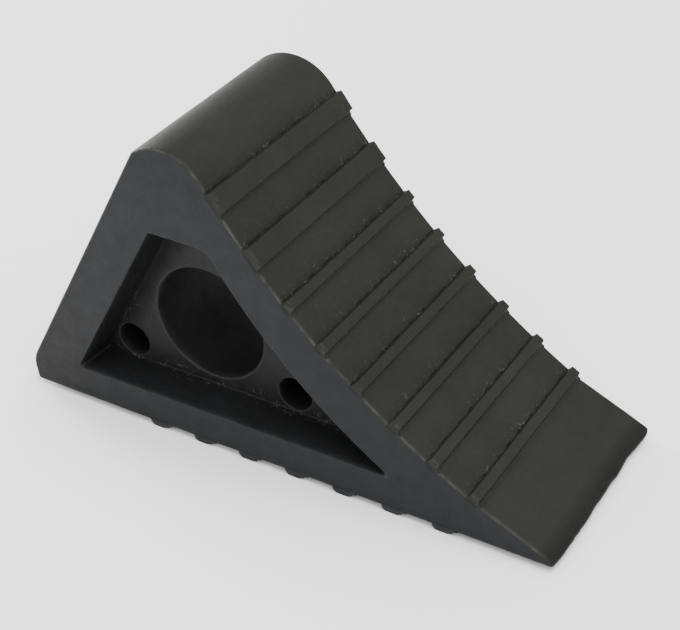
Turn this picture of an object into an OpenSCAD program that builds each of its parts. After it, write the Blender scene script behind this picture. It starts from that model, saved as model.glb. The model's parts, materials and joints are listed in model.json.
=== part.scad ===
// Wheel chock moulded in one piece of black rubber: a wedge with a concave tyre face,
// a recess in each side, holes through the web between them, and cross bars that grip.
// Each region of the moulding is a solid of its own that meets its neighbours face to face.
// X runs from the heel to the toe, Y across the chock, Z up. The origin is on the ground,
// at the centre of the chock's length and width.

/* [Overall] */
// Length from the heel to the toe
chock_l = 220; // [190:1:280]
// Width across the chock
chock_w = 80; // [60:1:120]
// Height of the crest over the ground
chock_h = 121.5; // [112:0.5:150]

/* [Heel] */
// Angle of the heel face to the ground, in degrees
heel_angle = 59.5; // [54:0.5:66]
// Height of the upright foot of the heel, over the base
heel_foot_h = 9.5; // [6:0.5:20]

/* [Crest] */
// Radius of the rounded crest
crest_r = 20.7; // [17:0.1:28]
// Distance from the heel face to the crest's axis, as a share of the crest's radius
crest_share = 0.93; // [0.8:0.01:1]

/* [Tyre face] */
// Radius of the concave tyre face
tyre_face_r = 330; // [250:5:600]
// Length of the flat plate at the toe, along its slope
toe_plate_l = 31; // [20:0.5:45]
// How much flatter the toe plate is than the end of the tyre face, in degrees
toe_kink = 7.2; // [3:0.1:12]
// Thickness of the toe at its nose
nose_t = 2.6; // [2:0.1:6]

/* [Tyre bars] */
// Number of wide bars, next to the crest; the rest of the eight are narrow
wide_bar_n = 2; // [1:1:4]
// Width of a wide bar at its foot
wide_bar_w = 8.6; // [5:0.1:11]
// Width of a narrow bar at its foot
narrow_bar_w = 4.5; // [3:0.1:7]
// Height of the tyre bars over the face
tyre_bar_h = 2.1; // [1:0.1:3]
// Length of face left plain below the lowest bar
bar_start = 0.4; // [0.2:0.1:4]
// Length of face left plain above the highest bar
bar_end = 2.4; // [0.2:0.1:4]

/* [Base bars] */
// Distance from one base bar to the next
base_bar_pitch = 19.8; // [14:0.1:22]
// Distance from the toe to the middle of the first base bar
base_bar_start = 42; // [36:1:60]
// Width of a base bar where it joins the base
base_bar_w = 8; // [5:0.1:11]
// Height of the base bars, which the chock stands on
base_bar_h = 2; // [1:0.1:3]

/* [Side recesses] */
// Depth of the recess in each side
recess_d = 14; // [6:0.5:22]
// Draft of the recess walls, in degrees
recess_draft = 8; // [1:1:14]
// Thickness of the heel wall at the mouth of the recess
heel_wall_t = 18.1; // [12:0.1:23]
// Thickness of the base wall at the mouth of the recess
base_wall_t = 13.7; // [8:0.5:15]
// Thickness of the tyre wall at the mouth of the recess, a quarter of the way up the face
tyre_wall_low_t = 20.3; // [14:0.1:23]
// The same, three quarters of the way up
tyre_wall_top_t = 19; // [14:0.1:23]
// Radius of the recess wall behind the tyre face
recess_face_r = 216; // [180:1:330]
// Thickness of the crest over the recess
crest_wall_t = 34.7; // [28:0.1:38]
// Depth of the small cut across the recess's corner between crest and tyre wall
recess_corner = 1.2; // [0.5:0.1:4]

/* [Holes] */
// Radius of the large hole through the web
big_hole_r = 22.8; // [12:0.1:24]
// Radius of the two rope holes through the web
rope_hole_r = 6.8; // [3:0.1:7.5]
// Rubber left between the rim of the big hole and the foot of the heel wall
big_hole_heel_gap = 6.6; // [4:0.1:9]
// Rubber left between the rim of the big hole and the foot of the base wall
big_hole_base_gap = 3.6; // [3:0.1:8]
// Rubber left between the rope holes and the foot of the base wall
rope_hole_base_gap = 0.6; // [0.3:0.1:2]
// Rubber left between the heel's rope hole and the foot of the heel wall
rope_hole_heel_gap = 1; // [0.4:0.1:2]
// Distance from the heel's rope hole to the toe's rope hole
rope_hole_span = 71.5; // [68:0.1:80]

/* [Bar section] */
// Draft of the sides of every bar, in degrees
bar_draft = 12; // [4:1:20]

/* [Hidden] */
$fn = 96;
// Segments for the long curve of the tyre face and the wall behind it
face_fn = 720;
// How far cutters run past the faces that they cut
past = 1;
// A length that reaches past the whole chock from any point of it
reach = 2 * (chock_l + chock_h);
// A height well over the crest
above = 2 * chock_h;
// How far the hollowed wedge and the toe plate run on under each other
plate_root = toe_plate_l / 4;
// How far the crest's cap reaches down inside the wedge from its axis
cap_root = crest_r / 2;
// Solid rubber between the tip of the recess and the start of the toe
tip_gap = base_wall_t / 3;
// Bars across the tyre face, one node each
tyre_bar_n = 8;

function dir(a) = [cos(a), sin(a)];
function along(p, a, l) = p + l * dir(a);
function dist(p, q) = norm(q - p);
function angle_of(v) = atan2(v[1], v[0]);
// Where the line through p at angle a meets the line through q at angle b
function meet(p, a, q, b) = along(p, a, ((q - p) * dir(b + 90)) / (dir(a) * dir(b + 90)));
// Centre of the circle of radius rp through p and rq from q, above the line from p to q
function far_centre(p, rp, q, rq) =
    let (d = dist(p, q), f = (rp * rp - rq * rq + d * d) / (2 * d))
    p + f * (q - p) / d + sqrt(rp * rp - f * f) * [q[1] - p[1], p[0] - q[0]] / d;

// The side outline, as [x, z]
half_l = chock_l / 2;
base_z = base_bar_h;
heel_bottom = [-half_l, base_z];
heel_top_of_foot = [-half_l, base_z + heel_foot_h];
crest_z = chock_h - crest_r;
crest_set = crest_share * crest_r;
crest_axis = along(meet(heel_top_of_foot, heel_angle, [0, crest_z], 0), 0, crest_set / sin(heel_angle));
corner_lift = acos(crest_share);
heel_crest_corner = along(crest_axis, heel_angle + 90 - corner_lift, crest_r);
nose_top = [half_l, base_z + nose_t];
nose_bottom = [half_l, base_z];
// The toe plate's slope is the slope of the tyre face's end less the kink. The end moves
// with the plate, so the slope is found in a few rounds that close in on it
function plate_end(slope) = along(nose_top, 180 - slope, toe_plate_l);
function face_axis(p) = far_centre(p, tyre_face_r, crest_axis, tyre_face_r + crest_r);
function face_slope(p) = -90 - angle_of(p - face_axis(p));
function plate_slope(slope, rounds) =
    rounds == 0 ? slope : plate_slope(face_slope(plate_end(slope)) - toe_kink, rounds - 1);
slope_rounds = 12;
toe_plate_angle = plate_slope(0, slope_rounds);
plate_top = plate_end(toe_plate_angle);
tyre_axis = face_axis(plate_top);
crest_tyre_joint = along(crest_axis, angle_of(tyre_axis - crest_axis), crest_r);

// Angles about the tyre face's axis, counted from the toe towards the crest
face_start = angle_of(plate_top - tyre_axis);
face_span = angle_of(crest_tyre_joint - tyre_axis) - face_start;
function arc_angle(l) = -l / tyre_face_r * 180 / PI;
face_l = -face_span * PI / 180 * tyre_face_r;

// The recess: each wall line is a point and an angle, at the mouth and at the floor
draft_step = recess_d * tan(recess_draft);
heel_line = heel_top_of_foot + heel_wall_t * dir(heel_angle - 90);
base_line = [0, base_z + base_wall_t];
top_line = [0, chock_h - crest_wall_t];
// The wall behind the tyre face is an arc through two points at their own depths under it
function under_face(share, depth) = tyre_axis + (tyre_face_r + depth) * dir(face_start + share * face_span);
low_share = 0.25;
wall_low = under_face(low_share, tyre_wall_low_t);
wall_top = under_face(1 - low_share, tyre_wall_top_t);
recess_axis = far_centre(wall_low, recess_face_r, wall_top, recess_face_r);
floor_heel_line = heel_line + draft_step * dir(heel_angle - 90);
floor_base_line = base_line + [0, draft_step];
web_t = chock_w - 2 * recess_d;
// The outer corner by the crest, cut off square to the line that halves it
function recess_face_at(z) =
    [recess_axis[0] - sqrt(pow(recess_face_r, 2) - pow(z - recess_axis[1], 2)), z];
top_tyre_corner = recess_face_at(top_line[1]);
corner_tangent = angle_of(top_tyre_corner - recess_axis) + 90;
corner_angle = corner_tangent / 2;
corner_line = along(top_tyre_corner, corner_angle - 90, recess_corner);
recess_tip = recess_face_at(base_line[1]);

// Hole centres in the web, measured from the feet of the recess walls
function from_walls(heel_gap, base_gap) =
    let (z = floor_base_line[1] + base_gap)
    meet(floor_heel_line + heel_gap * dir(heel_angle - 90), heel_angle, [0, z], 0);
big_hole = from_walls(big_hole_heel_gap + big_hole_r, big_hole_base_gap + big_hole_r);
heel_rope_hole = from_walls(rope_hole_heel_gap + rope_hole_r, rope_hole_base_gap + rope_hole_r);
toe_rope_hole = heel_rope_hole + [rope_hole_span, 0];

// The toe is the solid part of the wedge past the tip of the recess
toe_split_x = recess_tip[0] + tip_gap;
tip_ray = angle_of(recess_tip - big_hole);
toe_split = meet(big_hole, tip_ray, [toe_split_x, 0], 90);

bars_l = wide_bar_n * wide_bar_w + (tyre_bar_n - wide_bar_n) * narrow_bar_w;
bar_gap = (face_l - bar_start - bar_end - bars_l) / (tyre_bar_n - 1);
// Bars are counted from the crest down to the toe
function bar_w(i) = i <= wide_bar_n ? wide_bar_w : narrow_bar_w;
function bars_below(i) = i >= tyre_bar_n ? 0 : bar_w(i + 1) + bar_gap + bars_below(i + 1);
function bar_middle(i) = bar_start + bars_below(i) + bar_w(i) / 2;

// Extrudes an outline drawn in [x, z] across a width, centred on the chock
module across(w) {
    rotate([90, 0, 0])
        linear_extrude(height = w, center = true)
            children();
}

// A round bar across the chock
module across_cylinder(p, r, w) {
    translate([p[0], 0, p[1]])
        rotate([90, 0, 0])
            cylinder(r = r, h = w, center = true);
}

// The same in finer steps, for the tyre face and the wall behind it
module face_cylinder(p, r, w) {
    across_cylinder(p, r, w, $fn = face_fn);
}

// The whole wedge, without its bars, recesses or holes
module wedge() {
    union() {
        hollowed_wedge();
        toe_plate();
        crest_cap();
    }
}

// The wedge as far as the toe plate, and a little way under it. Its outline follows the
// line between the two axes up into the hollow, so that the hollow's curve cuts it
module hollowed_wedge() {
    over_hollow = along(crest_tyre_joint, angle_of(tyre_axis - crest_axis), crest_r);
    end_x = plate_top[0] + plate_root;
    difference() {
        across(chock_w)
            polygon([heel_bottom, heel_top_of_foot, heel_crest_corner, crest_axis, over_hollow,
                     [end_x, over_hollow[1]], [end_x, base_z]]);
        face_cylinder(tyre_axis, tyre_face_r, chock_w + 2 * past);
    }
}

// The flat end of the wedge; it starts inside the hollowed part
module toe_plate() {
    root = along(plate_top, 180 - toe_plate_angle, plate_root);
    across(chock_w)
        polygon([[root[0], base_z], root, nose_top, nose_bottom]);
}

// The rounded cap of the crest: the part of its cylinder between its two joints,
// with a root inside the wedge
module crest_cap() {
    root = crest_axis - [0, cap_root];
    intersection() {
        across_cylinder(crest_axis, crest_r, chock_w);
        across(chock_w + 2 * past)
            polygon([root, heel_crest_corner, [heel_crest_corner[0], above],
                     [crest_tyre_joint[0], above], crest_tyre_joint]);
    }
}

// Everything on the recess's side of a wall that passes through p at angle a and
// leans in with the draft; the space is on the left of the angle's direction
module inside_of(p, a) {
    translate([p[0], -chock_w / 2, p[1]])
        rotate([0, -a, 0])
            rotate([recess_draft, 0, 0])
                translate([-reach / 2, -reach / 2, 0])
                    cube(reach);
}

// The recess in the side that faces -Y
module recess() {
    draft_past = past * tan(recess_draft);
    difference() {
        intersection() {
            translate([-reach / 2, -chock_w / 2 - past, -reach / 2])
                cube([reach, recess_d + past, reach]);
            inside_of(heel_line, heel_angle - 180);
            inside_of(base_line, 0);
            inside_of(top_line, 180);
            inside_of(corner_line, corner_angle + 180);
        }
        translate([recess_axis[0], -chock_w / 2 - past, recess_axis[1]])
            rotate([-90, 0, 0])
                cylinder(r1 = recess_face_r - draft_past, r2 = recess_face_r + draft_step,
                         h = recess_d + past, $fn = face_fn);
    }
}

module both_recesses() {
    recess();
    mirror([0, 1, 0])
        recess();
}

// The space between the two recess floors, inside the feet of their walls
module web_space() {
    difference() {
        across(web_t)
            polygon(web_outline());
        face_cylinder(recess_axis, recess_face_r + draft_step, web_t + 2 * past);
    }
}

// Straight sides of the web; the tyre wall's curve is cut from it afterwards
function web_outline() =
    let (top_z = top_line[1] - draft_step,
         floor_corner = corner_line + draft_step * dir(corner_angle - 90),
         tip = [recess_tip[0], floor_base_line[1]])
    [meet(floor_heel_line, heel_angle, floor_base_line, 0),
     meet(floor_heel_line, heel_angle, [0, top_z], 0),
     meet(floor_corner, corner_angle, [0, top_z], 0),
     meet(floor_corner, corner_angle, tip, 90),
     tip];

// One wall of the frame: the part of the wedge that lies between two rays from the middle
// of the big hole, which reach the outside at the first and last of the points given
module wall(outer) {
    difference() {
        intersection() {
            wedge();
            across(chock_w + 2 * past)
                polygon(concat([big_hole], outer));
        }
        both_recesses();
        web_space();
    }
}

module heel_wall() {
    color([0.16, 0.17, 0.18])
        wall([heel_bottom, [-reach, base_z], [-reach, heel_crest_corner[1]], heel_crest_corner]);
}

module base_wall() {
    color([0.15, 0.16, 0.17])
        wall([toe_split, [toe_split_x, 0], [-half_l, 0], heel_bottom]);
}

module tyre_wall() {
    color([0.18, 0.18, 0.17])
        wall([crest_tyre_joint, [toe_split_x, chock_h], toe_split]);
}

module crest() {
    color([0.2, 0.2, 0.2])
        wall([heel_crest_corner, [heel_crest_corner[0], above], [crest_tyre_joint[0], above],
              crest_tyre_joint]);
}

module toe() {
    color([0.17, 0.18, 0.18])
        intersection() {
            wedge();
            translate([toe_split_x, -reach / 2, 0])
                cube(reach);
        }
}

module hole(p, r) {
    across_cylinder(p, r, web_t + 2 * past);
}

module centre_web() {
    color([0.12, 0.13, 0.14])
        difference() {
            web_space();
            hole(big_hole, big_hole_r);
            hole(heel_rope_hole, rope_hole_r);
            hole(toe_rope_hole, rope_hole_r);
        }
}

// Section of a bar: its foot on the line z = 0, its top at h, and a root below the line
module bar_section(w, h, root) {
    lean = tan(bar_draft);
    polygon([[-w / 2 - root * lean, -root], [w / 2 + root * lean, -root],
             [w / 2 - h * lean, h], [-w / 2 + h * lean, h]]);
}

// Bar on the tyre face; its foot follows the curve of the face
module tyre_bar(i) {
    a = face_start + arc_angle(bar_middle(i));
    color([0.21, 0.21, 0.2])
        translate([tyre_axis[0], 0, tyre_axis[1]])
            rotate([0, -a, 0])
                intersection() {
                    translate([tyre_face_r, 0, 0])
                        rotate([0, -90, 0])
                            across(chock_w)
                                bar_section(bar_w(i), tyre_bar_h, tyre_bar_h);
                    face_cylinder([0, 0], tyre_face_r, chock_w + 2 * past);
                }
}

// Bar under the base; it hangs from the base down to the ground
module base_bar(i) {
    color([0.14, 0.15, 0.16])
        translate([half_l - base_bar_start - (i - 1) * base_bar_pitch, 0, base_z])
            mirror([0, 0, 1])
                across(chock_w)
                    bar_section(base_bar_w, base_bar_h, 0);
}

heel_wall();
base_wall();
tyre_wall();
crest();
toe();
centre_web();
tyre_bar(1);  // tyre_bar_1
tyre_bar(2);  // tyre_bar_2
tyre_bar(3);  // tyre_bar_3
tyre_bar(4);  // tyre_bar_4
tyre_bar(5);  // tyre_bar_5
tyre_bar(6);  // tyre_bar_6
tyre_bar(7);  // tyre_bar_7
tyre_bar(8);  // tyre_bar_8
base_bar(1);  // base_bar_1
base_bar(2);  // base_bar_2
base_bar(3);  // base_bar_3
base_bar(4);  // base_bar_4
base_bar(5);  // base_bar_5
base_bar(6);  // base_bar_6
base_bar(7);  // base_bar_7
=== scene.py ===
# %% [markdown]
# # A moulded rubber wheel chock
# A wheel chock is a wedge that is pushed under a tyre so that a parked truck can't roll.
# This one is a single moulding of black rubber. Its front is hollowed to the curve of a
# tyre and carries eight grip bars, its base has seven more, and each side has a
# three-cornered recess with a large hole and two rope holes in the web behind it.
#
# This lesson builds it from plain mesh code. Every size comes from the CAD model that is
# loaded first, or from the mould's own drawing values, which are named where they are used.

# %% Load the CAD model
import json
import math

import bmesh
import bpy
from mathutils import Matrix, Vector, noise
from mathutils.geometry import delaunay_2d_cdt


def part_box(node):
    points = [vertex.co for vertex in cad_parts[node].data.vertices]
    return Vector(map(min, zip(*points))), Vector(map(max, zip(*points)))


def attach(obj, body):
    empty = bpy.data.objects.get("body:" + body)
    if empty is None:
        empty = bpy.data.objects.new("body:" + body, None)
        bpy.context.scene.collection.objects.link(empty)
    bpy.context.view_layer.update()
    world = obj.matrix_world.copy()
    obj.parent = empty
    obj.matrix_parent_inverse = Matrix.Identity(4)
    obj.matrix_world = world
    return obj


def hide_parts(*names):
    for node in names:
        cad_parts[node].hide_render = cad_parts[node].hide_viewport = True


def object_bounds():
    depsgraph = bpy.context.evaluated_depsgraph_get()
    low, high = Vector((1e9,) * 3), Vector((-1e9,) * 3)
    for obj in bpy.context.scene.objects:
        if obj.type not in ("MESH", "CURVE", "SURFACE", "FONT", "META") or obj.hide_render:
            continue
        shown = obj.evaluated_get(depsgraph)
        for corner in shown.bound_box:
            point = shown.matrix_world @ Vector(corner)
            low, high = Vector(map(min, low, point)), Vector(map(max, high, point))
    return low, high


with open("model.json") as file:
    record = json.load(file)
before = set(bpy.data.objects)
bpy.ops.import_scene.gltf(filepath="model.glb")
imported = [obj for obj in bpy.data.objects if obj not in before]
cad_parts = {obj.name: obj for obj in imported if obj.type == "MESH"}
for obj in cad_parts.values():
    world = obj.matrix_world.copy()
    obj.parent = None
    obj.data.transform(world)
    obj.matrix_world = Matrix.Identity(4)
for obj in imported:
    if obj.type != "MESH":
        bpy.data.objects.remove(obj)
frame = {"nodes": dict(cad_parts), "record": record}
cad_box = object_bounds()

MM = 0.001
low, high = (corner / MM for corner in cad_box)
print("the chock is", [round(high[k] - low[k], 1) for k in range(3)], "mm long, wide and high")

# %% [markdown]
# ## Drawing tools
# The side view of the chock is made of straight lines and arcs, so a few drawing tools in
# two dimensions are enough: a direction, the crossing of two lines, and a fillet. They work
# in millimetres, as a mould maker's drawing does. The first number is the distance along
# the chock, and the second is the height.

# %% Directions, crossings and fillets
def heading(degrees):
    """A step of one in this direction."""
    return Vector((math.cos(math.radians(degrees)), math.sin(math.radians(degrees))))


def bearing(way):
    """The direction of a step, in degrees."""
    return math.degrees(math.atan2(way[1], way[0]))


def crossing(p, way_p, q, way_q):
    """Where the line through p meets the line through q."""
    square = heading(way_q + 90)
    return p + heading(way_p) * ((q - p).dot(square) / heading(way_p).dot(square))


def arc(centre, radius, first, last, steps):
    """Points round a centre, from one bearing to another."""
    return [centre + heading(first + (last - first) * k / steps) * radius for k in range(steps + 1)]


def fillet(corner, way_in, way_out, radius, steps):
    """The arc that rounds a corner between two straight runs."""
    turn = (way_out - way_in + 180) % 360 - 180
    side = 90 if turn > 0 else -90
    start = corner - heading(way_in) * radius * math.tan(math.radians(abs(turn) / 2))
    centre = start + heading(way_in + side) * radius
    return arc(centre, radius, way_in - side, way_in - side + turn, steps)


def run(p, q, count):
    """Points spread evenly between p and q, without the two ends."""
    return [p.lerp(q, k / (count + 1)) for k in range(1, count + 1)]


def smooth(low_end, high_end, value):
    """Rises from 0 to 1 between the two ends, with a soft start and stop."""
    t = min(1.0, max(0.0, (value - low_end) / (high_end - low_end)))
    return t * t * (3 - 2 * t)


def ripple(x, y, seed):
    """Soft noise between about -1 and 1, the same on each run."""
    return 2 * noise.noise(Vector((x, y, 7.31 * seed)))


# %% [markdown]
# ## A net of points
# Each piece is a net: rings of points that are bridged to one another, and flat faces that
# are filled with triangles. A class keeps the points and faces until the piece is whole.
# It also keeps three marks for each point, which the materials read later: how much painted
# highlight an edge gets, how much painted shade a point gets in a crease, a hole, a corner or
# by the toe's lip, and how much dust lies there.
#
# A flat face that needs marks of its own, such as dust along one side, gets a grid of extra
# points. Without them, a mark on its border would smear across the whole face.

# %% The net
MARKS = ("wear", "crease", "dust")
INSIDE_ONLY = 1


class Net:
    """The points and faces of one piece, until it is made into a mesh."""

    def __init__(self):
        self.points = []
        self.marks = {name: [] for name in MARKS}
        self.faces = []
        self.finish = []
        self.flat = set()

    def ring(self, points, **marks):
        """Adds points and gives back their numbers. A mark is one value, or one for each point."""
        first = len(self.points)
        self.points += [Vector(p) for p in points]
        for name in MARKS:
            value = marks.get(name, 0.0)
            self.marks[name] += value if isinstance(value, list) else [value] * len(points)
        return list(range(first, len(self.points)))

    def face(self, corners, finish=0):
        self.faces.append(corners)
        self.finish.append(finish)

    def bridge(self, a, b, finish=0):
        """Joins two closed rings with four-cornered faces."""
        for k in range(len(a)):
            n = (k + 1) % len(a)
            self.face((a[k], a[n], b[n], b[k]), finish[k] if isinstance(finish, list) else finish)

    def plate(self, outer, holes, finish=0, spacing=0, marks_at=None):
        """Fills the flat space between a ring and the holes in it, with points between if asked."""
        loops = [outer] + holes
        if spacing:
            loops.append(self.sprinkle(loops, spacing, marks_at))
        numbers = [n for loop in loops for n in loop]
        self.flat.update(numbers)
        flat = [Vector((self.points[n].x, self.points[n].z)) for n in numbers]
        edges = []
        first = 0
        for loop in loops[:len(holes) + 1]:
            edges += [(first + k, first + (k + 1) % len(loop)) for k in range(len(loop))]
            first += len(loop)
        outlines = self.outlines(holes)
        for face in delaunay_2d_cdt(flat, edges, [], INSIDE_ONLY, 1e-7)[2]:
            middle = sum((flat[k] for k in face), Vector((0, 0))) / len(face)
            if not any(inside(middle, outline) for outline in outlines):
                self.face(tuple(numbers[k] for k in face), finish)

    def outlines(self, loops):
        """The loops as seen from the side."""
        return [[(self.points[n].x, self.points[n].z) for n in loop] for loop in loops]

    def sprinkle(self, loops, spacing, marks_at):
        """Adds points on a grid between the loops, away from their edges."""
        outlines = self.outlines(loops)
        edge = [Vector(p) for outline in outlines for p in outline]
        y = self.points[loops[0][0]].y
        (left, bottom), (right, top) = [[f(p[k] for p in edge) for k in (0, 1)] for f in (min, max)]
        spots = []
        for i in range(int((right - left) / spacing)):
            for j in range(int((top - bottom) / spacing)):
                shift = 0.5 + 0.25 * (j % 2)
                spot = Vector((left + (i + shift) * spacing, bottom + (j + 0.5) * spacing))
                if not inside(spot, outlines[0]) or any(inside(spot, o) for o in outlines[1:]):
                    continue
                if min((spot - p).length_squared for p in edge) > (spacing * 0.5) ** 2:
                    spots.append(spot)
        return self.ring([(p.x, y, p.y) for p in spots], **marks_at(spots))

    def piece(self, name, finishes, nodes):
        """Turns the net into a mesh object that stands for its CAD nodes."""
        mesh = bpy.data.meshes.new(name)
        mesh.from_pydata([p * MM for p in self.points], [], self.faces)
        for mark, values in self.marks.items():
            mesh.attributes.new(mark, "FLOAT", "POINT").data.foreach_set("value", values)
        for material in finishes:
            mesh.materials.append(material)
        mesh.polygons.foreach_set("material_index", self.finish)
        mesh.shade_smooth()
        turn_outwards(mesh)
        shade = [v.normal.copy() for v in mesh.vertices]
        for n in self.flat:
            shade[n] = Vector((0, math.copysign(1, self.points[n].y), 0))
        mesh.normals_split_custom_set_from_vertices(shade)
        made = bpy.data.objects.new(name, mesh)
        bpy.context.collection.objects.link(made)
        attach(made, "root")
        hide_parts(*nodes)
        print(name, "has", len(self.points), "points and", len(self.faces), "faces")


def inside(point, outline):
    """Whether a point lies inside a closed outline."""
    x, z = point
    odd = False
    for k in range(len(outline)):
        (xa, za), (xb, zb) = outline[k - 1], outline[k]
        if (za > z) != (zb > z) and x < xa + (xb - xa) * (z - za) / (zb - za):
            odd = not odd
    return odd


def turn_outwards(mesh):
    """Makes every face look away from the rubber."""
    work = bmesh.new()
    work.from_mesh(mesh)
    bmesh.ops.recalc_face_normals(work, faces=work.faces)
    open_edges = sum(not e.is_manifold for e in work.edges)
    if work.calc_volume(signed=True) < 0:
        bmesh.ops.reverse_faces(work, faces=work.faces)
    print("open edges:", open_edges, "volume:", round(work.calc_volume() * 1e6, 1), "cm3")
    work.to_mesh(mesh)
    work.free()


# %% [markdown]
# ## The rubber
# Black rubber isn't black. New mouldings are a dark grey with a fine grain, faint clouds
# from the flow of the rubber, and dust in the corners. Painted light is laid over it: a
# painted tint that leans to blue on the sides and to olive on the hollow, for the colour of
# the light that falls on them, painted highlights along the rounded edges, and painted
# shade in creases, holes and corners. One recipe makes all of the finishes, so that they
# belong together, and each finish only says what sets it apart: how light it is, how far
# its painted tint leans to olive or blue, how rough it is, and so on. Everything is worked
# out from the place on the object itself, so the grain has a real size and doesn't need an
# image or a map. The flat sides grow darker towards the ground.

# %% One recipe for every finish
def join(tree, kind, *feeds, **settings):
    """Adds a node, sets its options, and links or sets its inputs in order."""
    made = tree.nodes.new("ShaderNode" + kind)
    for name, value in settings.items():
        setattr(made, name, value)
    for socket, feed in feeds:
        if isinstance(feed, bpy.types.NodeSocket):
            tree.links.new(feed, made.inputs[socket])
        else:
            made.inputs[socket].default_value = feed
    return made


# Painted light tints: olive for the warm light on the hollow and its bars, blue for the cool light
# on the sides, the recess, the web and the base bars.
OLIVE_LIGHT_TINT = (0.02, 0.05, -0.13)
BLUE_LIGHT_TINT = (-0.07, 0.0, 0.15)
DUST = (0.095, 0.09, 0.065, 1)
BUMP_M = 0.00006


def grey(level, painted_light_tint):
    """A dark colour: a level, with a painted light tint leaning to olive above zero and to blue
    below it.
    """
    lean = OLIVE_LIGHT_TINT if painted_light_tint > 0 else BLUE_LIGHT_TINT
    return tuple(level * (1 + abs(painted_light_tint) * part) for part in lean) + (1,)


def rubber(name, level, painted_light_tint, rough, shine, grain=1.0, dusty=0.0, tool_marks=0.0, low_dark=0.0):
    """One finish. Its painted light tint leans it to olive above zero and to blue below it."""
    made = bpy.data.materials.new(name)
    made.use_nodes = True
    tree = made.node_tree
    shader = tree.nodes["Principled BSDF"]
    place = join(tree, "TexCoord").outputs["Object"]

    def cloud(scale, detail, roughness=0.6):
        return join(tree, "TexNoise", ("Vector", place), ("Scale", scale), ("Detail", detail),
                    ("Roughness", roughness)).outputs["Fac"]

    def fit(feed, first, last, to_first, to_last):
        return join(tree, "MapRange", ("Value", feed), ("From Min", first), ("From Max", last),
                    ("To Min", to_first), ("To Max", to_last)).outputs["Result"]

    def times(a, b):
        return join(tree, "Math", (0, a), (1, b), operation="MULTIPLY").outputs[0]

    def plus(a, b):
        return join(tree, "Math", (0, a), (1, b), operation="ADD").outputs[0]

    def blend(amount, a, b):
        return join(tree, "MixRGB", ("Fac", amount), ("Color1", a), ("Color2", b)).outputs["Color"]

    def mark(which):
        """One of the net's marks, read back from the mesh."""
        return join(tree, "Attribute", attribute_name=which).outputs["Fac"]

    flow = cloud(28, 5)
    bloom = cloud(150, 4)
    pores = cloud(900, 3)
    grit = cloud(2600, 2)

    # Colour: clouds, grain, darker near the ground, then painted highlights on edges, painted shade
    # in creases and corners, and dust
    colour = blend(fit(flow, 0.3, 0.7, 0, 1), grey(level * 0.78, painted_light_tint), grey(level * 1.18, painted_light_tint))
    colour = blend(fit(pores, 0.56, 0.74, 0, 0.35), colour, grey(level * 2.0, painted_light_tint))
    colour = blend(fit(grit, 0.34, 0.5, 0.3, 0), colour, grey(level * 0.45, painted_light_tint))
    height = join(tree, "SeparateXYZ", ("Vector", place)).outputs["Z"]
    colour = blend(fit(height, 0.0, 0.1, low_dark, 0), colour, grey(level * 0.3, painted_light_tint))
    # Painted highlight: pale patches along the rounded edges
    highlit_edge = times(mark("wear"), fit(bloom, 0.32, 0.6, 0.25, 1.0))
    colour = blend(times(highlit_edge, 0.9), colour, grey(level * 4.2, painted_light_tint * 0.4))
    # Painted shade: darker in the creases, the holes, towards the toe's lip and in the web's corners
    colour = blend(times(mark("crease"), 0.9), colour, grey(level * 0.18, painted_light_tint))
    cells = join(tree, "TexVoronoi", ("Vector", place), ("Scale", 1050.0))
    specks = fit(cells.outputs["Distance"], 0.2, 0.42, 1, 0)
    strewn = times(specks, fit(cloud(420, 3), 0.5, 0.64, 0, 1))
    settled = times(strewn, plus(mark("dust"), dusty))
    colour = blend(settled, colour, DUST)
    tree.links.new(colour, shader.inputs["Base Color"])

    # Gloss: smoother in the clouds, duller in dust and where the painted shade lies
    gloss = plus(fit(bloom, 0.3, 0.7, rough - 0.06, rough + 0.07), fit(pores, 0.4, 0.7, -0.03, 0.05))
    gloss = plus(gloss, times(plus(settled, mark("crease")), 0.3))
    tree.links.new(gloss, shader.inputs["Roughness"])
    shader.inputs["Specular IOR Level"].default_value = shine

    # Relief: grain of the steel, pores, shallow clouds, and tool marks in short stretches
    relief = plus(times(grit, 0.5 * grain), times(pores, 1.2 * grain))
    relief = plus(relief, times(bloom, 2.2 * grain))
    if tool_marks:
        bands = join(tree, "TexWave", ("Vector", place), ("Scale", 240.0), ("Distortion", 4.0),
                     ("Detail", 2.0), ("Detail Scale", 1.5), bands_direction="Y")
        here = fit(cloud(34, 1), 0.52, 0.66, 0, tool_marks)
        relief = plus(relief, times(bands.outputs["Fac"], here))
    bump = join(tree, "Bump", ("Height", relief), ("Strength", 1.0), ("Distance", BUMP_M))
    tree.links.new(bump.outputs["Normal"], shader.inputs["Normal"])
    return made


side_rubber = rubber("side_rubber", 0.0098, -1.0, 0.50, 0.16, low_dark=0.6)
tread_rubber = rubber("tread_rubber", 0.0114, 0.9, 0.60, 0.14, grain=1.3, dusty=0.06)
recess_rubber = rubber("recess_rubber", 0.009, -0.5, 0.48, 0.16, dusty=0.04)
web_rubber = rubber("web_rubber", 0.009, -0.3, 0.50, 0.15, dusty=0.04)
bar_rubber = rubber("bar_rubber", 0.0110, 1.0, 0.60, 0.14, grain=1.3, dusty=0.04, tool_marks=2.2)
base_rubber = rubber("base_rubber", 0.011, -0.6, 0.58, 0.16, grain=1.2)
print("finishes:", [m.name for m in bpy.data.materials if m.name.endswith("rubber")])

# %% [markdown]
# ## The side view of the wedge
# The mould maker draws the wedge once, from the side. The back leans at 59.5 degrees over a
# short upright foot, the crest is a 21 mm arc, and the hollow is part of a 330 mm circle, a
# little smaller than a truck tyre so that the edges bite. A flat plate leads down to a nose
# less than 3 mm thick. All of the corners are rounded, because rubber never fills a sharp one.

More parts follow.
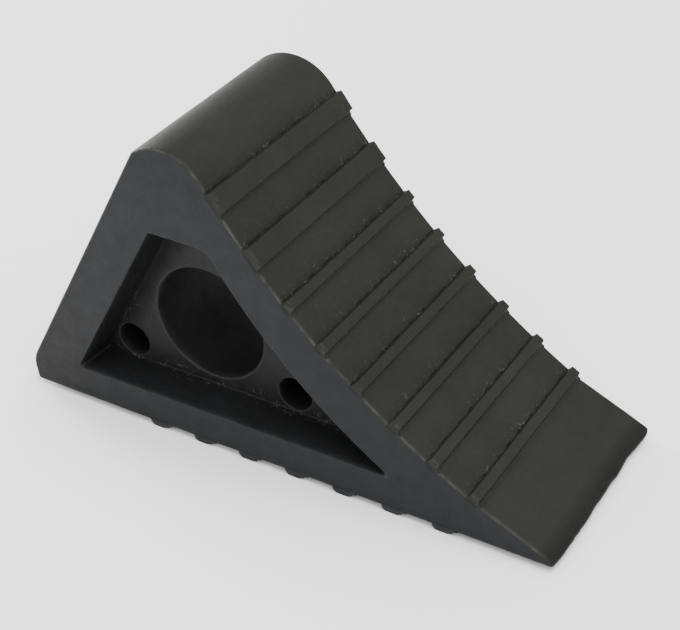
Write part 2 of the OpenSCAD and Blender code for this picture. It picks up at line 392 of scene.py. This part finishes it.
# %% The lines of the wedge
half_l = high[0]
half_w = high[1]
base_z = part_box("base_bar_1")[1][2] / MM
heel_angle = 59.5
foot_h = 9.5
crest_r = 20.7
crest_set = 0.93 * crest_r
face_r = 330.0
plate_l = 31.0
plate_angle = 24.38
nose_t = 2.6

foot_top = Vector((-half_l, base_z + foot_h))
crest_axis = crossing(foot_top, heel_angle, Vector((0, high[2] - crest_r)), 0)
crest_axis.x += crest_set / math.sin(math.radians(heel_angle))
plate_top = Vector((half_l, base_z + nose_t)) + heading(180 - plate_angle) * plate_l


def axis_over(p, reach_p, q, reach_q):
    """The point that lies reach_p from p and reach_q from q, on the upper side."""
    apart = (q - p).length
    part = (reach_p ** 2 - reach_q ** 2 + apart ** 2) / (2 * apart)
    way = (q - p) / apart
    return p + way * part + Vector((way.y, -way.x)) * math.sqrt(reach_p ** 2 - part ** 2)


tyre_axis = axis_over(plate_top, face_r, crest_axis, face_r + crest_r)
face_start = bearing(plate_top - tyre_axis)
crest_start = bearing(tyre_axis - crest_axis)
face_end = crest_start - 180
face_l = math.radians(face_start - face_end) * face_r


def on_face(distance):
    """The point of the hollow this far up from the toe plate."""
    return tyre_axis + heading(face_start - math.degrees(distance / face_r)) * face_r


print("the hollow is", round(face_l, 1), "mm long, round the axis", [round(v, 1) for v in tyre_axis])

# %% [markdown]
# The bars come from the CAD model. Each bar's foot spans a small angle about the hollow's
# axis, which gives its middle and its width.

# %% Where the bars lie
bars = []
bar_h = 2.1
for number in range(1, 9):
    node = frame["nodes"][f"tyre_bar_{number}"]
    turns = [bearing(Vector((v.co.x, v.co.z)) / MM - tyre_axis) for v in node.data.vertices]
    feet = [math.radians(face_start - t) * face_r for t in (max(turns), min(turns))]
    bars.append((sum(feet) / 2, feet[1] - feet[0]))
print("bar middles and widths:", [(round(m, 1), round(w, 1)) for m, w in bars])

# %% [markdown]
# Along the crest side of every bar runs a thin torn crease. It is where flash was pulled off
# after moulding, so it stops and starts. It is cut into the net itself: rows of points are
# laid close together at the foot of each bar, and are pushed down where the crease is open.

# %% Stations along the hollow
CREASE_W = 0.34
CREASE_D = 0.24
crease_lines = [middle + width / 2 + CREASE_W / 2 for middle, width in bars]
stations = [0.6 + k * (face_l - 1.2) / 92 for k in range(93)]
for line in crease_lines:
    stations = [s for s in stations if abs(s - line) > CREASE_W * 0.9]
    stations += [line + CREASE_W * part for part in (-0.75, -0.5, -0.25, 0.0, 0.25, 0.5, 0.75)]
stations = sorted(s for s in stations if s < face_l - 0.3)


def crease_open(bar, y):
    """How far the crease of a bar is open at a place across the chock, from 0 to 1."""
    dashes = ripple(y * 0.22, bar * 3.1, 1) + 0.7 * ripple(y * 0.9, bar * 5.7, 2)
    return 0.12 + 0.88 * smooth(-0.15, 0.4, dashes)


# %% [markdown]
# Now the side view is walked round once, corner by corner. Each point remembers which part of
# the wedge it is on, because the parts get different finishes and painted highlights of
# different strength. The foot of the heel leans in a little towards the ground, as a moulding
# does where it leaves the steel.

# %% The outline of the wedge, walked round against the clock
FOOT_WAY = 276
FOOT_TUCK = 1.0
HEEL_R = 1.5
FOOT_R = 12
NOSE_R = 1.2
KINK_R = 6
CREST_CORNER_R = 2.2
outline = []


def draw(points, part, place=None):
    """Adds points of one part to the outline, with their places along the hollow."""
    outline.extend((p, part, None if place is None else place[k]) for k, p in enumerate(points))


heel_way = heel_angle + 180
plate_way = 180 - plate_angle
crest_end = heel_angle + 90 - math.degrees(math.acos(crest_set / crest_r))
crest_corner = crest_axis + heading(crest_end) * crest_r
corners = {
    "heel": fillet(Vector((-half_l + FOOT_TUCK, base_z)), FOOT_WAY - 360, 0, HEEL_R, 6),
    "nose_low": fillet(Vector((half_l, base_z)), 0, 90, NOSE_R, 5),
    "nose_high": fillet(Vector((half_l, base_z + nose_t)), 90, plate_way, NOSE_R, 5),
    "kink": fillet(plate_top, plate_way, face_start - 90, KINK_R, 2),
    "crest": fillet(crest_corner, crest_end + 90, heel_way, CREST_CORNER_R, 5),
    "foot": fillet(foot_top, heel_way, FOOT_WAY, FOOT_R, 8),
}
draw(corners["heel"], "base")
draw(run(corners["heel"][-1], corners["nose_low"][0], 96), "base")
draw(corners["nose_low"], "nose")
draw(corners["nose_high"], "plate")
draw(run(corners["nose_high"][-1], corners["kink"][0], 22), "plate")
draw(corners["kink"], "hollow")
draw([on_face(s) for s in stations], "hollow", stations)
draw(arc(crest_axis, crest_r, crest_start, crest_end - 2, 34), "crest")
draw(corners["crest"], "back")
draw(run(corners["crest"][-1], corners["foot"][0], 56), "back")
draw(corners["foot"], "back")
draw(run(corners["foot"][-1], corners["heel"][0], 2), "back")
count = len(outline)
outwards = []
for k in range(count):
    step = outline[(k + 1) % count][0] - outline[k - 1][0]
    outwards.append(Vector((step.y, -step.x)).normalized())
print("the outline has", count, "points")

# %% [markdown]
# ## The frame of the wedge
# The outline is repeated across the chock, from one side to the other. Near each side the
# last few copies shrink, which rounds the long edges. Four things make it look moulded and
# not machined: the creases at the bars, the uneven lip of the toe where flash was trimmed
# with a knife, swells of a few hundredths of a millimetre, and a hollow that has shrunk
# unevenly while it cooled. At one side its middle lies nearly 2 mm deeper than it should,
# and this fades to nothing at the other side.
#
# The painted highlight, the painted shade and the dust stop short of the flat sides, for the reason
# given with the net.

# %% Copies of the outline across the chock
EDGE_R = 1.1
SAG_TOP = -1.25
SAG_MIDDLE = -1.85
SAG_TOE = 0.3
SWELL = 0.03
LIP_L = 9
CRUMB_REACH = 3.2
COLUMNS = 112
columns = []
for k in range(5):
    turn = math.radians(90 - k * 22.5)
    columns.append((-half_w + EDGE_R * (1 - math.sin(turn)), EDGE_R * (1 - math.cos(turn))))
inner = half_w - EDGE_R
columns += [(-inner + 2 * inner * k / COLUMNS, 0.0) for k in range(1, COLUMNS)]
columns += [(-y, inset) for y, inset in reversed(columns[:5])]


def ragged(y):
    """How much of the toe's lip the knife took off, in millimetres."""
    near_corner = 0.6 * smooth(-half_w + 6, -half_w, y)
    waves = 0.5 + 0.45 * ripple(y * 0.07, 0, 3) + 0.3 * ripple(y * 0.19, 0, 4)
    waves *= smooth(-20, 10, y)
    return max(0.0, near_corner + waves + 0.08 + 0.08 * ripple(y * 0.4, 0, 5))


def sag(distance, y):
    """How far the near edge of the hollow has shrunk in, or stands out, at a place."""
    up = distance / face_l
    along = SAG_TOP * up * (2 * up - 1) + SAG_MIDDLE * 4 * up * (1 - up)
    along += SAG_TOE * (1 - up) * (1 - 2 * up)
    return along * (0.5 - y / (2 * half_w))


def wedge_point(k, y, inset):
    """A point of the wedge's skin, with its three marks."""
    p, part, place = outline[k]
    out = outwards[k]
    swell = SWELL * ripple(p.x * 0.05, p.y * 0.05 + y * 0.06, 6) - SWELL
    if place is not None:
        swell += sag(place, y)
    elif part == "crest":
        swell += sag(face_l, y) * smooth(crest_start + 55, crest_start, bearing(p - crest_axis))
    elif part == "plate":
        swell += sag(0, y) * smooth(half_l - 4, plate_top.x, p.x)
    crease = 0.0
    crumbs = 0.0
    if place is not None:
        for bar, line in enumerate(crease_lines):
            near = 1 - abs(place - line) / (CREASE_W * 0.55)
            if near > 0:
                crease = near * crease_open(bar, y)
            strewn = smooth(-0.6, 0.5, ripple(y * 0.3, bar, 7))
            crumbs = max(crumbs, smooth(CRUMB_REACH, 0.6, abs(place - line)) * strewn)
    depth = inset - swell + CREASE_D * crease
    spot = p - out * depth
    toe_part = smooth(half_l - LIP_L, half_l, p.x)
    spot.x -= ragged(y) * toe_part
    edge = smooth(0.0, EDGE_R * 0.3, inset) * smooth(EDGE_R, EDGE_R * 0.8, inset)
    # Painted highlight along the rounded long edges, strongest on the hollow, the crest and the
    # plate
    highlit_edge = edge * (1.0 if part in ("hollow", "crest", "plate") else 0.3)
    highlit_edge *= 0.7 + 0.3 * ripple(p.x * 0.4, p.y * 0.4, 8)
    on_side = smooth(EDGE_R * 0.5, EDGE_R, inset)
    # Painted shade in the open creases, and towards the toe's lip
    lip = smooth(half_l - 8, half_l - 1, p.x) if part == "plate" else 0.0
    painted_shade = max(min(1.0, 1.4 * crease), 0.55 * lip) * (1 - on_side)
    return (spot.x, y, spot.y), highlit_edge, painted_shade, crumbs * (1 - on_side)


frame_net = Net()
skin = []
for y, inset in columns:
    row = [wedge_point(k, y, inset) for k in range(count)]
    skin.append(frame_net.ring([r[0] for r in row], wear=[r[1] for r in row],
                               crease=[r[2] for r in row], dust=[r[3] for r in row]))
part_finish = [0 if part in ("plate", "hollow", "crest") else 1 for _, part, _ in outline]
for first, second in zip(skin, skin[1:]):
    frame_net.bridge(first, second, part_finish)
print("the skin has", len(skin), "copies of the outline")

# %% [markdown]
# ## The recess
# Each side has a three-cornered recess that saves rubber and gives the fingers a hold. Its
# walls lean by 8 degrees so that the moulding comes off the steel core. The recess is drawn
# once as a closed line that can be set in by any amount: every wall moves square to itself,
# so the corners stay true. A stack of these lines makes the rounded mouth, the leaning
# walls and the soft foot. The wall behind the hollow is bent more than the hollow itself,
# so it is thickest at its two ends.

# %% The recess, set in by any amount
DRAFT = 8
recess_d = half_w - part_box("centre_web")[1][1] / MM
wall_t = {"heel": 18.1, "base": 13.7, "tyre_low": 20.3, "tyre_top": 19.0, "crest": 34.7}
arc_r = 216.0
span = face_end - face_start
wall_low = tyre_axis + heading(face_start + 0.25 * span) * (face_r + wall_t["tyre_low"])
wall_top = tyre_axis + heading(face_start + 0.75 * span) * (face_r + wall_t["tyre_top"])
wall_axis = axis_over(wall_low, arc_r, wall_top, arc_r)


def wall_at(radius, z):
    """The point of the wall behind the hollow at this height."""
    return Vector((wall_axis.x - math.sqrt(radius ** 2 - (z - wall_axis.y) ** 2), z))


def recess_line(s):
    """The closed line of the recess, set in by s from its mouth, against the clock."""
    heel = foot_top + heading(heel_angle - 90) * (wall_t["heel"] + s)
    floor_z = base_z + wall_t["base"] + s
    roof_z = high[2] - wall_t["crest"] - s
    radius = arc_r + s
    a = crossing(heel, heel_angle, Vector((0, floor_z)), 0)
    b = crossing(heel, heel_angle, Vector((0, roof_z)), 0)
    tip = wall_at(radius, floor_z)
    top = wall_at(radius, roof_z)
    tip_way = bearing(tip - wall_axis) - 90
    top_way = bearing(top - wall_axis) - 90
    at_tip = fillet(tip, 0, tip_way, max(0.4, 1.2 - 0.25 * s), 6)
    at_top = fillet(top, top_way, 180, max(3.0, 8.0 - s), 12)
    at_b = fillet(b, 180, heel_way, max(0.5, 1.6 - 0.25 * s), 6)
    at_a = fillet(a, heel_way, 360, max(0.4, 1.2 - 0.25 * s), 6)
    first = bearing(at_tip[-1] - wall_axis)
    last = bearing(at_top[0] - wall_axis)
    tyre_side = arc(wall_axis, radius, first, last, 47)[1:-1]
    roof = run(at_top[-1], at_b[0], 10)
    back = run(at_b[-1], at_a[0], 40)
    ground = run(at_a[-1], at_tip[0], 70)
    return at_tip + tyre_side + at_top + roof + at_b + back + at_a + ground


def off_heel_wall(p):
    """How far a point lies from the mouth of the recess on the heel's side."""
    return (p - foot_top).dot(heading(heel_angle - 90)) - wall_t["heel"]


draft_step = recess_d * math.tan(math.radians(DRAFT))
mouth = recess_line(0)
dusty_side = []
for p in mouth:
    on_ground = p.y < base_z + wall_t["base"] + 0.6
    dusty_side.append(on_ground or abs(off_heel_wall(p)) < 0.6 and p.y < 50)
print("the recess is", round(recess_d, 1), "mm deep, drawn with", len(mouth), "points")

# %% [markdown]
# Both recesses are built from the same stack of lines, one for each side. The flat sides of
# the chock are filled in between the mouth and the rounded edge. Behind the web a plain
# tunnel joins the two stacks, so that the frame is one closed skin without loose edges.

# %% The walls of both recesses, and the flat sides round them
MOUTH_R = 0.7
WALL_FOOT_R = 0.3
WALL_STEPS = 11
steps = []
for k in range(5):
    turn = math.radians(22.5 * k)
    # painted highlight on the rounded mouth of the recess
    wear = 0.25 if k else 0
    steps.append((MOUTH_R * (math.sin(turn) - 1), MOUTH_R * (1 - math.cos(turn)), wear, 0.0))
for k in range(1, WALL_STEPS + 1):
    depth = MOUTH_R + (recess_d - MOUTH_R - WALL_FOOT_R) * k / WALL_STEPS
    dust = smooth(0.72, 1.0, k / WALL_STEPS)
    steps.append((depth * math.tan(math.radians(DRAFT)), depth, 0.0, dust))
steps.append((draft_step + WALL_FOOT_R * 0.3, recess_d - WALL_FOOT_R * 0.3, 0.0, 1.0))
steps.append((draft_step + WALL_FOOT_R, recess_d, 0.0, 1.0))
print("each recess wall is a stack of", len(steps), "lines")

tunnel = []
for side in (-1, 1):
    wall = []
    for s, depth, wear, dust in steps:
        line = recess_line(s)
        points = []
        for p in line:
            mould = 0.05 * ripple(p.x * 0.2, p.y * 0.2 + depth * 0.3, 8) * smooth(1, 4, depth)
            points.append((p.x + mould, side * (half_w - depth), p.y + mould))
        lies = [dust * (1.0 if dusty else 0.15) for dusty in dusty_side]
        wall.append(frame_net.ring(points, wear=wear, dust=lies))
    for first, second in zip(wall, wall[1:]):
        frame_net.bridge(first, second, 2)
    edge_ring = skin[0] if side < 0 else skin[-1]
    frame_net.plate(edge_ring, [wall[0]], 1)
    tunnel.append(wall[-1])
frame_net.bridge(tunnel[0], tunnel[1], 2)
frame_net.piece("wedge_frame", [tread_rubber, side_rubber, recess_rubber],
                ["heel_wall", "base_wall", "tyre_wall", "crest", "toe"])

# %% [markdown]
# ## The web and its holes
# Between the recesses a web ties the walls together. It has a large hole for a storage peg
# or a carrying hand and two small holes for a rope that joins a pair of chocks. The places
# and sizes of the holes come from the CAD model's own list of mounts. The web's edge runs a
# little way into the walls, so no gap can open between them. Dust gathers along its lower
# edge. Painted shade darkens it beside the heel wall and, more faintly, along its lower edge.

# %% The web
holes = [(Vector((m["pos_m"][0], m["pos_m"][2])) / MM, m["dims"]["r_mm"])
         for m in frame["record"]["mounts"] if m["kind"] == "bore"]
HOLE_STEPS = 96
GRID = 2.4
BIG_LIP = 0.9
SMALL_LIP = 0.45
OVERLAP = 0.35
web_net = Net()
web_half = half_w - recess_d
web_edge = recess_line(draft_step - OVERLAP)
web_rings = {}


def web_marks(spots):
    """The dust on the web, and its painted shade by the heel wall and the lower edge, at each of
    these points.
    """
    dust = []
    painted_shade = []
    for p in spots:
        over_base = p.y - base_z - wall_t["base"] - draft_step
        off_heel = off_heel_wall(p) - draft_step
        by_heel = 0.45 * smooth(9, 1, off_heel) * smooth(60, 35, p.y)
        dust.append(max(smooth(6, 0.5, over_base), by_heel))
        # painted shade beside the heel wall and, fainter, along the lower edge
        painted_shade.append(max(0.75 * smooth(11, 0, off_heel), 0.35 * smooth(6, 0, over_base)))
    return {"dust": dust, "crease": painted_shade}


for side in (-1, 1):
    spots = [(p.x, side * web_half, p.y) for p in web_edge]
    web_rings[side] = web_net.ring(spots, **web_marks(web_edge))
web_net.bridge(web_rings[-1], web_rings[1])
for side in (-1, 1):
    mouths = []
    for centre, radius in holes:
        lip = BIG_LIP if radius > 10 else SMALL_LIP
        ways = [heading(360 * k / HOLE_STEPS) for k in range(HOLE_STEPS)]
        rings = []
        for k in range(5):
            turn = math.radians(22.5 * k)
            ring_r = radius + lip * (1 - math.sin(turn))
            y = side * (web_half - lip * (1 - math.cos(turn)))
            spots = [centre + way * ring_r for way in ways]
            # painted highlight on the rounded mouth of each hole
            rings.append(web_net.ring([(p.x, y, p.y) for p in spots], wear=0.5 if k else 0.0))
        # Painted shade inside each hole, deepening towards the middle of the web
        for part in (0.12, 0.3, 0.6, 1.0):
            y = side * (web_half - lip) * (1 - part)
            spots = [centre + way * radius for way in ways]
            rings.append(web_net.ring([(p.x, y, p.y) for p in spots], crease=0.5 * part))
        for first, second in zip(rings, rings[1:]):
            web_net.bridge(first, second)
        mouths.append(rings[0])
    web_net.plate(web_rings[side], mouths, 0, GRID, web_marks)
print("holes:", [([round(v, 1) for v in centre], radius) for centre, radius in holes])


def weld(net, reach=1e-3):
    """Makes points that lie in the same place one point."""
    seen = {}
    same = []
    for k, p in enumerate(net.points):
        key = tuple(round(v / reach) for v in p)
        same.append(seen.setdefault(key, k))
    used = sorted(set(same))
    number = {old: new for new, old in enumerate(used)}
    net.points = [net.points[k] for k in used]
    for name in MARKS:
        net.marks[name] = [net.marks[name][k] for k in used]
    net.faces = [tuple(number[same[k]] for k in face) for face in net.faces]
    net.flat = {number[same[k]] for k in net.flat}


weld(web_net)
web_net.piece("web_with_holes", [web_rubber], ["centre_web"])

# %% [markdown]
# ## The grip bars on the hollow
# The bars bite into the tread of the tyre. The two by the crest are wide and the other six
# are narrow. Their flanks lean by 12 degrees, their tops are rounded, and their toe side
# runs into the face with a soft fillet, while the crest side meets the torn crease. Every
# bar is one profile swept across the chock, with small unevenness along its edges.

# %% One bar swept across the chock
BAR_LEAN = 12
LEAN = math.tan(math.radians(BAR_LEAN))
ROOT = 1.3
SINK = 0.07


def bar_profile(width, height, edge, soft):
    """The section of a bar: (distance up the face, height over it)."""
    top = width / 2 - height * LEAN
    low_edge = width / 2 + ROOT * LEAN
    section = [Vector((low_edge, -ROOT))]
    section += run(section[0], Vector((width / 2, 0)), 1) + [Vector((width / 2, 0))]
    section += fillet(Vector((top, height)), 90 + BAR_LEAN, 180, edge, 5)
    section += run(section[-1], Vector((-top + edge, height)), 7)
    section += fillet(Vector((-top, height)), 180, 270 - BAR_LEAN, edge, 5)
    section += fillet(Vector((-width / 2, -SINK)), 270 - BAR_LEAN, 180, soft, 5)
    section += [section[-1] - Vector((0.4, 0.02)), section[-1] - Vector((0.5, 0.5))]
    section += [Vector((-low_edge, -ROOT))]
    return section


END_R = 0.5
BAR_COLUMNS = 100
bar_columns = []
for k in range(4):
    turn = math.radians(90 - k * 30)
    bar_columns.append((-half_w + END_R * (1 - math.sin(turn)), END_R * (1 - math.cos(turn))))
bar_inner = half_w - END_R
bar_columns += [(-bar_inner + 2 * bar_inner * k / BAR_COLUMNS, 0.0) for k in range(1, BAR_COLUMNS)]
bar_columns += [(-y, inset) for y, inset in reversed(bar_columns[:4])]


def swept_bar(name, node, material, seed, section, place):
    """Sweeps a section across the chock; place turns (along, height, y) into (x, z)."""
    net = Net()
    rows = []
    for y, inset in bar_columns:
        end = smooth(half_w - 1.6, half_w - 0.4, abs(y))
        spots = []
        wear = []
        for p in section:
            over = smooth(0.0, 0.6, p.y)
            rough = 0.07 * ripple(p.x * 0.5, y * 0.25, seed) + 0.04 * ripple(p.x, y * 0.9, seed + 1)
            width = 1 - inset / max(abs(p.x), 2.0) * 0.8
            along = p.x * width + over * 0.6 * rough
            height = p.y - over * (inset * 0.7 + abs(rough))
            spot = place(along, height, y)
            spots.append((spot.x, y, spot.y))
            # painted highlight in patches along the bar's upper edges, near its ends
            highlight_patches = smooth(-0.5, 0.4, ripple(p.x * 0.9, y * 2, seed + 2))
            wear.append(0.4 * end * over * highlight_patches)
        rows.append(net.ring(spots, wear=wear))
    for first, second in zip(rows, rows[1:]):
        net.bridge(first, second)
    net.face(tuple(rows[0]))
    net.face(tuple(reversed(rows[-1])))
    net.flat.update(rows[0] + rows[-1])
    net.piece(name, [material], [node])


print("a bar is swept through", len(bar_columns), "copies of its section")

# %% [markdown]
# Each bar stands square to the hollow at its own place, and follows the hollow's curve and
# its sag. Its feet go 1.3 mm into the rubber, as they are one with it on the real chock.

# %% The eight bars
TOP_EDGE_R = 0.35
TOE_SIDE_R = 1.1
for number, (middle, width) in enumerate(bars, 1):
    foot = on_face(middle)
    inwards = (tyre_axis - foot).normalized()
    uphill = Vector((-inwards.y, inwards.x))

    def on_bar(along, height, y, foot=foot, inwards=inwards, uphill=uphill, middle=middle):
        lift = height + along ** 2 / (2 * face_r) + sag(middle + along, y)
        return foot + uphill * along + inwards * lift

    profile = bar_profile(width, bar_h, TOP_EDGE_R, TOE_SIDE_R)
    swept_bar(f"grip_bar_{number}", f"tyre_bar_{number}", bar_rubber,
              10 + 2 * number, profile, on_bar)

# %% [markdown]
# ## The bars under the base
# The chock stands on seven bars that dig into the ground. They are seen as a row of low
# teeth along the bottom edge. They are made with the same sweep, upside down, and their
# edges are rounder than those of the grip bars, because the ground wears them.

# %% The seven bars
BASE_EDGE_R = 2.2
BASE_SIDE_R = 2.0
for number in range(1, 8):
    lowest, highest = (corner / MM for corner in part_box(f"base_bar_{number}"))
    centre_x = (lowest.x + highest.x) / 2

    def under_base(along, height, y, centre_x=centre_x):
        return Vector((centre_x - along, base_z - height))

    profile = bar_profile(highest.x - lowest.x, base_z, BASE_EDGE_R, BASE_SIDE_R)
    swept_bar(f"foot_bar_{number}", f"base_bar_{number}", base_rubber,
              40 + 2 * number, profile, under_base)

# %% [markdown]
# ## The studio
# A pale floor, a low soft light behind the heel that draws the sheen along the back of the
# crest, a large one overhead, and a large weak one from the front that opens the shadows.
# Black rubber shows its shape by its highlights more than by its colour, so the lights are
# large and close.

# %% Floor and lights
floor_mesh = bpy.data.meshes.new("studio_floor")
floor_mesh.from_pydata([(-6, -6, 0), (6, -6, 0), (6, 6, 0), (-6, 6, 0)], [], [(0, 1, 2, 3)])
studio_floor = bpy.data.objects.new("studio_floor", floor_mesh)
bpy.context.collection.objects.link(studio_floor)
pale = bpy.data.materials.new("pale_floor")
pale.use_nodes = True
pale_shader = pale.node_tree.nodes["Principled BSDF"]
pale_shader.inputs["Base Color"].default_value = (0.97, 0.97, 0.97, 1)
pale_shader.inputs["Roughness"].default_value = 0.9
floor_mesh.materials.append(pale)


def soft_light(name, place, aim, size, power, tint):
    """A round soft light at a place, aimed at another."""
    lamp = bpy.data.lights.new(name, "AREA")
    lamp.shape = "DISK"
    lamp.size = size
    lamp.energy = power
    lamp.color = tint
    made = bpy.data.objects.new(name, lamp)
    made.location = place
    made.rotation_euler = (Vector(aim) - Vector(place)).to_track_quat("-Z", "Y").to_euler()
    bpy.context.collection.objects.link(made)


soft_light("back_light", (-1.2, 0.35, 0.3), (-0.03, 0, 0.08), 0.5, 24, (1, 0.99, 0.97))
soft_light("top_light", (0.45, -0.1, 1.3), (0, 0, 0.05), 1.2, 25, (1, 1, 1))
soft_light("front_light", (-0.3, -1.3, 0.9), (0, 0, 0.05), 1.4, 6, (0.95, 0.98, 1))

world = bpy.data.worlds.new("studio")
world.use_nodes = True
sky = world.node_tree.nodes["Background"]
sky.inputs["Color"].default_value = (1, 1, 1, 1)
sky.inputs["Strength"].default_value = 1.25
bpy.context.scene.world = world

# %% [markdown]
# ## The camera
# The chock is seen from its near side, from well above and turned towards the toe, through
# a short telephoto lens. The camera is placed by four plain facts: how far it is turned,
# how high it looks down, how much it is tilted, and where it stands.

# %% The camera
TURN = 32.98
DOWN = 35.03
TILT = 2.92
STANDS = (0.25978, -0.39177, 0.37206)
lens = bpy.data.cameras.new("camera")
lens.lens = 84.45
lens.sensor_width = 36
camera = bpy.data.objects.new("camera", lens)
turned = (Matrix.Rotation(math.radians(TURN), 4, "Z")
          @ Matrix.Rotation(math.radians(90 - DOWN), 4, "X")
          @ Matrix.Rotation(math.radians(-TILT), 4, "Z"))
camera.matrix_world = Matrix.Translation(STANDS) @ turned
bpy.context.collection.objects.link(camera)
bpy.context.scene.camera = camera
print("the camera stands", round(camera.location.length, 3), "m from the middle of the base")
